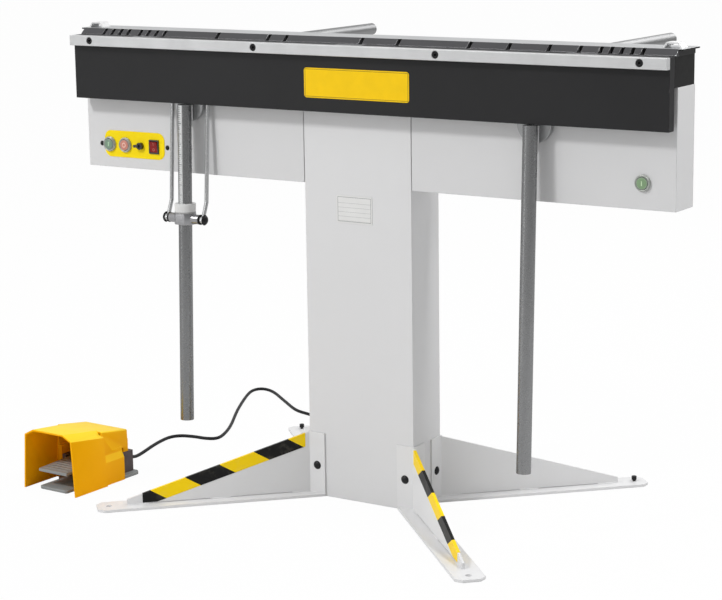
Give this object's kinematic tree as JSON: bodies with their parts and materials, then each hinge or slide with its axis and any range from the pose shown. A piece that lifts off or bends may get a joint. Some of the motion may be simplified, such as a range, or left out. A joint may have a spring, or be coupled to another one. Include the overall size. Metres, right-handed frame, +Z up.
{
  "type": "magnetic sheet metal brake",
  "caption": "Pedestal magnetic folding machine: electromagnet bed, slotted clamp bar, swinging bending beam with pull handles, angle stop and hooded foot switch.",
  "frame": {"origin": "floor level under the centre of the column", "axes": "+Z up, +X along the bending line to the operator's right, +Y away from the operator"},
  "size_m": [1.3574, 0.9442, 0.9074],
  "materials": {
    "light_grey_paint": "satin powder coat",
    "column_paint": "satin powder coat",
    "foot_paint": "satin powder coat",
    "black_steel": "black oxide and paint",
    "black_plastic": "matte",
    "black_screws": "black oxide",
    "bare_steel": "ground",
    "bevel_steel": "milled",
    "tube_steel": "drawn",
    "rod_steel": "bright",
    "coil_copper": "enamelled copper wire",
    "core_iron": "varnished laminations",
    "can_aluminium": "drawn",
    "filler_aluminium": "ground",
    "zinc_screws": "zinc plated",
    "yellow_plate": "printed film",
    "white_plate": "printed film",
    "green_cap": "gloss",
    "red_cap": "gloss",
    "red_rocker": "gloss, translucent",
    "collar_white": "satin",
    "yoke_steel": "milled",
    "black_rubber": "matte",
    "tape_yellow": "adhesive film",
    "hood_yellow": "moulded",
    "pedal_grey": "cast, painted",
    "switch_grey": "matte",
    "cable_black": "matte"
  },
  "bodies": {
    "machine": {"column": "column_paint", "foot_front_left": "foot_paint", "foot_front_right": "foot_paint", "foot_rear_left": "foot_paint", "foot_rear_right": "foot_paint", "column_bolts": "black_screws", "levelling_screws": "black_screws", "hazard_tapes": "tape_yellow", "magnet_body": "black_steel", "magnet_coil": "coil_copper", "pole_filler": "filler_aluminium", "magnet_end_blocks": "black_plastic", "left_box": "light_grey_paint", "left_box_cover": "light_grey_paint", "right_box": "light_grey_paint", "right_box_cover": "light_grey_paint", "cover_screws": "zinc_screws", "transformer_core": "core_iron", "transformer_windings": "coil_copper", "capacitors": "can_aluminium", "rectifier": "can_aluminium", "control_plate": "yellow_plate", "panel_screws": "black_screws", "button_bezels": "black_plastic", "rocker_frame": "black_plastic", "rating_plate": "white_plate", "link_brackets": "black_steel", "backstop_arms": "tube_steel", "arm_screws": "black_screws", "pedal_hood": "hood_yellow", "pedal_base": "pedal_grey", "pedal_switch_body": "switch_grey", "pedal_pin": "zinc_screws", "cable_glands": "black_plastic", "pedal_cable": "cable_black"},
    "bending_beam": {"bending_beam": "black_steel", "name_plate": "yellow_plate", "extension_strip": "bare_steel", "strip_screws": "black_screws", "hinge_shoes": "bare_steel", "handle_brackets": "tube_steel", "bracket_screws": "black_screws", "left_handle_tube": "tube_steel", "right_handle_tube": "tube_steel"},
    "stop_yoke": {"stop_yoke": "yoke_steel"},
    "stop_collar": {"angle_collar": "collar_white", "collar_screw": "black_screws"},
    "stop_rods": {"link_rods": "rod_steel", "link_bushes": "black_rubber", "link_bolts": "black_screws"},
    "clamp_bar": {"clamp_bar": "bare_steel", "clamp_fingers": "bevel_steel", "lifting_handles": "bare_steel"},
    "start_button": {"start_button": "green_cap"},
    "stop_button": {"stop_button": "red_cap"},
    "remote_button": {"remote_button": "green_cap"},
    "selector": {"selector_knob": "black_plastic"},
    "rocker": {"rocker_switch": "red_rocker"},
    "treadle": {"pedal_treadle": "pedal_grey"}
  },
  "joints": [
    {"name": "beam_swing", "type": "hinge", "parent": "machine", "child": "bending_beam", "pos_m": [0, -0.0627, 0.885], "axis": [-1, 0, 0], "range_deg": [0, 135]},
    {"name": "yoke_slide", "type": "slide", "parent": "bending_beam", "child": "stop_yoke", "axis": [0, 0.0349, 0.9994], "range_m": [0, 0.15234]},
    {"name": "collar_slide", "type": "slide", "parent": "bending_beam", "child": "stop_collar", "axis": [0, 0.0349, 0.9994], "range_m": [0, 0.15234]},
    {"name": "rods_swing", "type": "hinge", "parent": "machine", "child": "stop_rods", "pos_m": [0, -0.0562, 0.803], "axis": [-1, 0, 0], "range_deg": [0, 143.92]},
    {"name": "clamp_bar_lift", "type": "slide", "parent": "machine", "child": "clamp_bar", "axis": [0, 0.7071, 0.7071], "range_m": [0, 0.12]},
    {"name": "start_press", "type": "slide", "parent": "machine", "child": "start_button", "axis": [0, 1, 0], "range_m": [0, 0.003], "stiffness_N_per_m": 300, "springref_m": -0.001},
    {"name": "stop_press", "type": "slide", "parent": "machine", "child": "stop_button", "axis": [0, 1, 0], "range_m": [0, 0.003], "stiffness_N_per_m": 300, "springref_m": -0.001},
    {"name": "remote_press", "type": "slide", "parent": "machine", "child": "remote_button", "axis": [0, 1, 0], "range_m": [0, 0.003], "stiffness_N_per_m": 300, "springref_m": -0.001},
    {"name": "selector_turn", "type": "hinge", "parent": "machine", "child": "selector", "pos_m": [-0.5152, -0.0492, 0.6645], "axis": [0, 1, 0], "range_deg": [0, 90]},
    {"name": "rocker_tip", "type": "hinge", "parent": "machine", "child": "rocker", "pos_m": [-0.4816, -0.05, 0.6645], "axis": [-1, 0, 0], "range_deg": [0, 14]},
    {"name": "treadle_press", "type": "hinge", "parent": "machine", "child": "treadle", "pos_m": [-0.56531, -0.1941, 0.033], "axis": [0.9991, -0.0419, 0], "range_deg": [0, 8], "stiffness_Nm_per_rad": 3, "springref_deg": -5.73}
  ],
  "couplings": [
    {"joint": "yoke_slide", "follows": "beam_swing", "m_per_rad": 0.064654},
    {"joint": "collar_slide", "follows": "beam_swing", "m_per_rad": 0.064654},
    {"joint": "rods_swing", "follows": "beam_swing", "ratio": 1.0661}
  ]
}
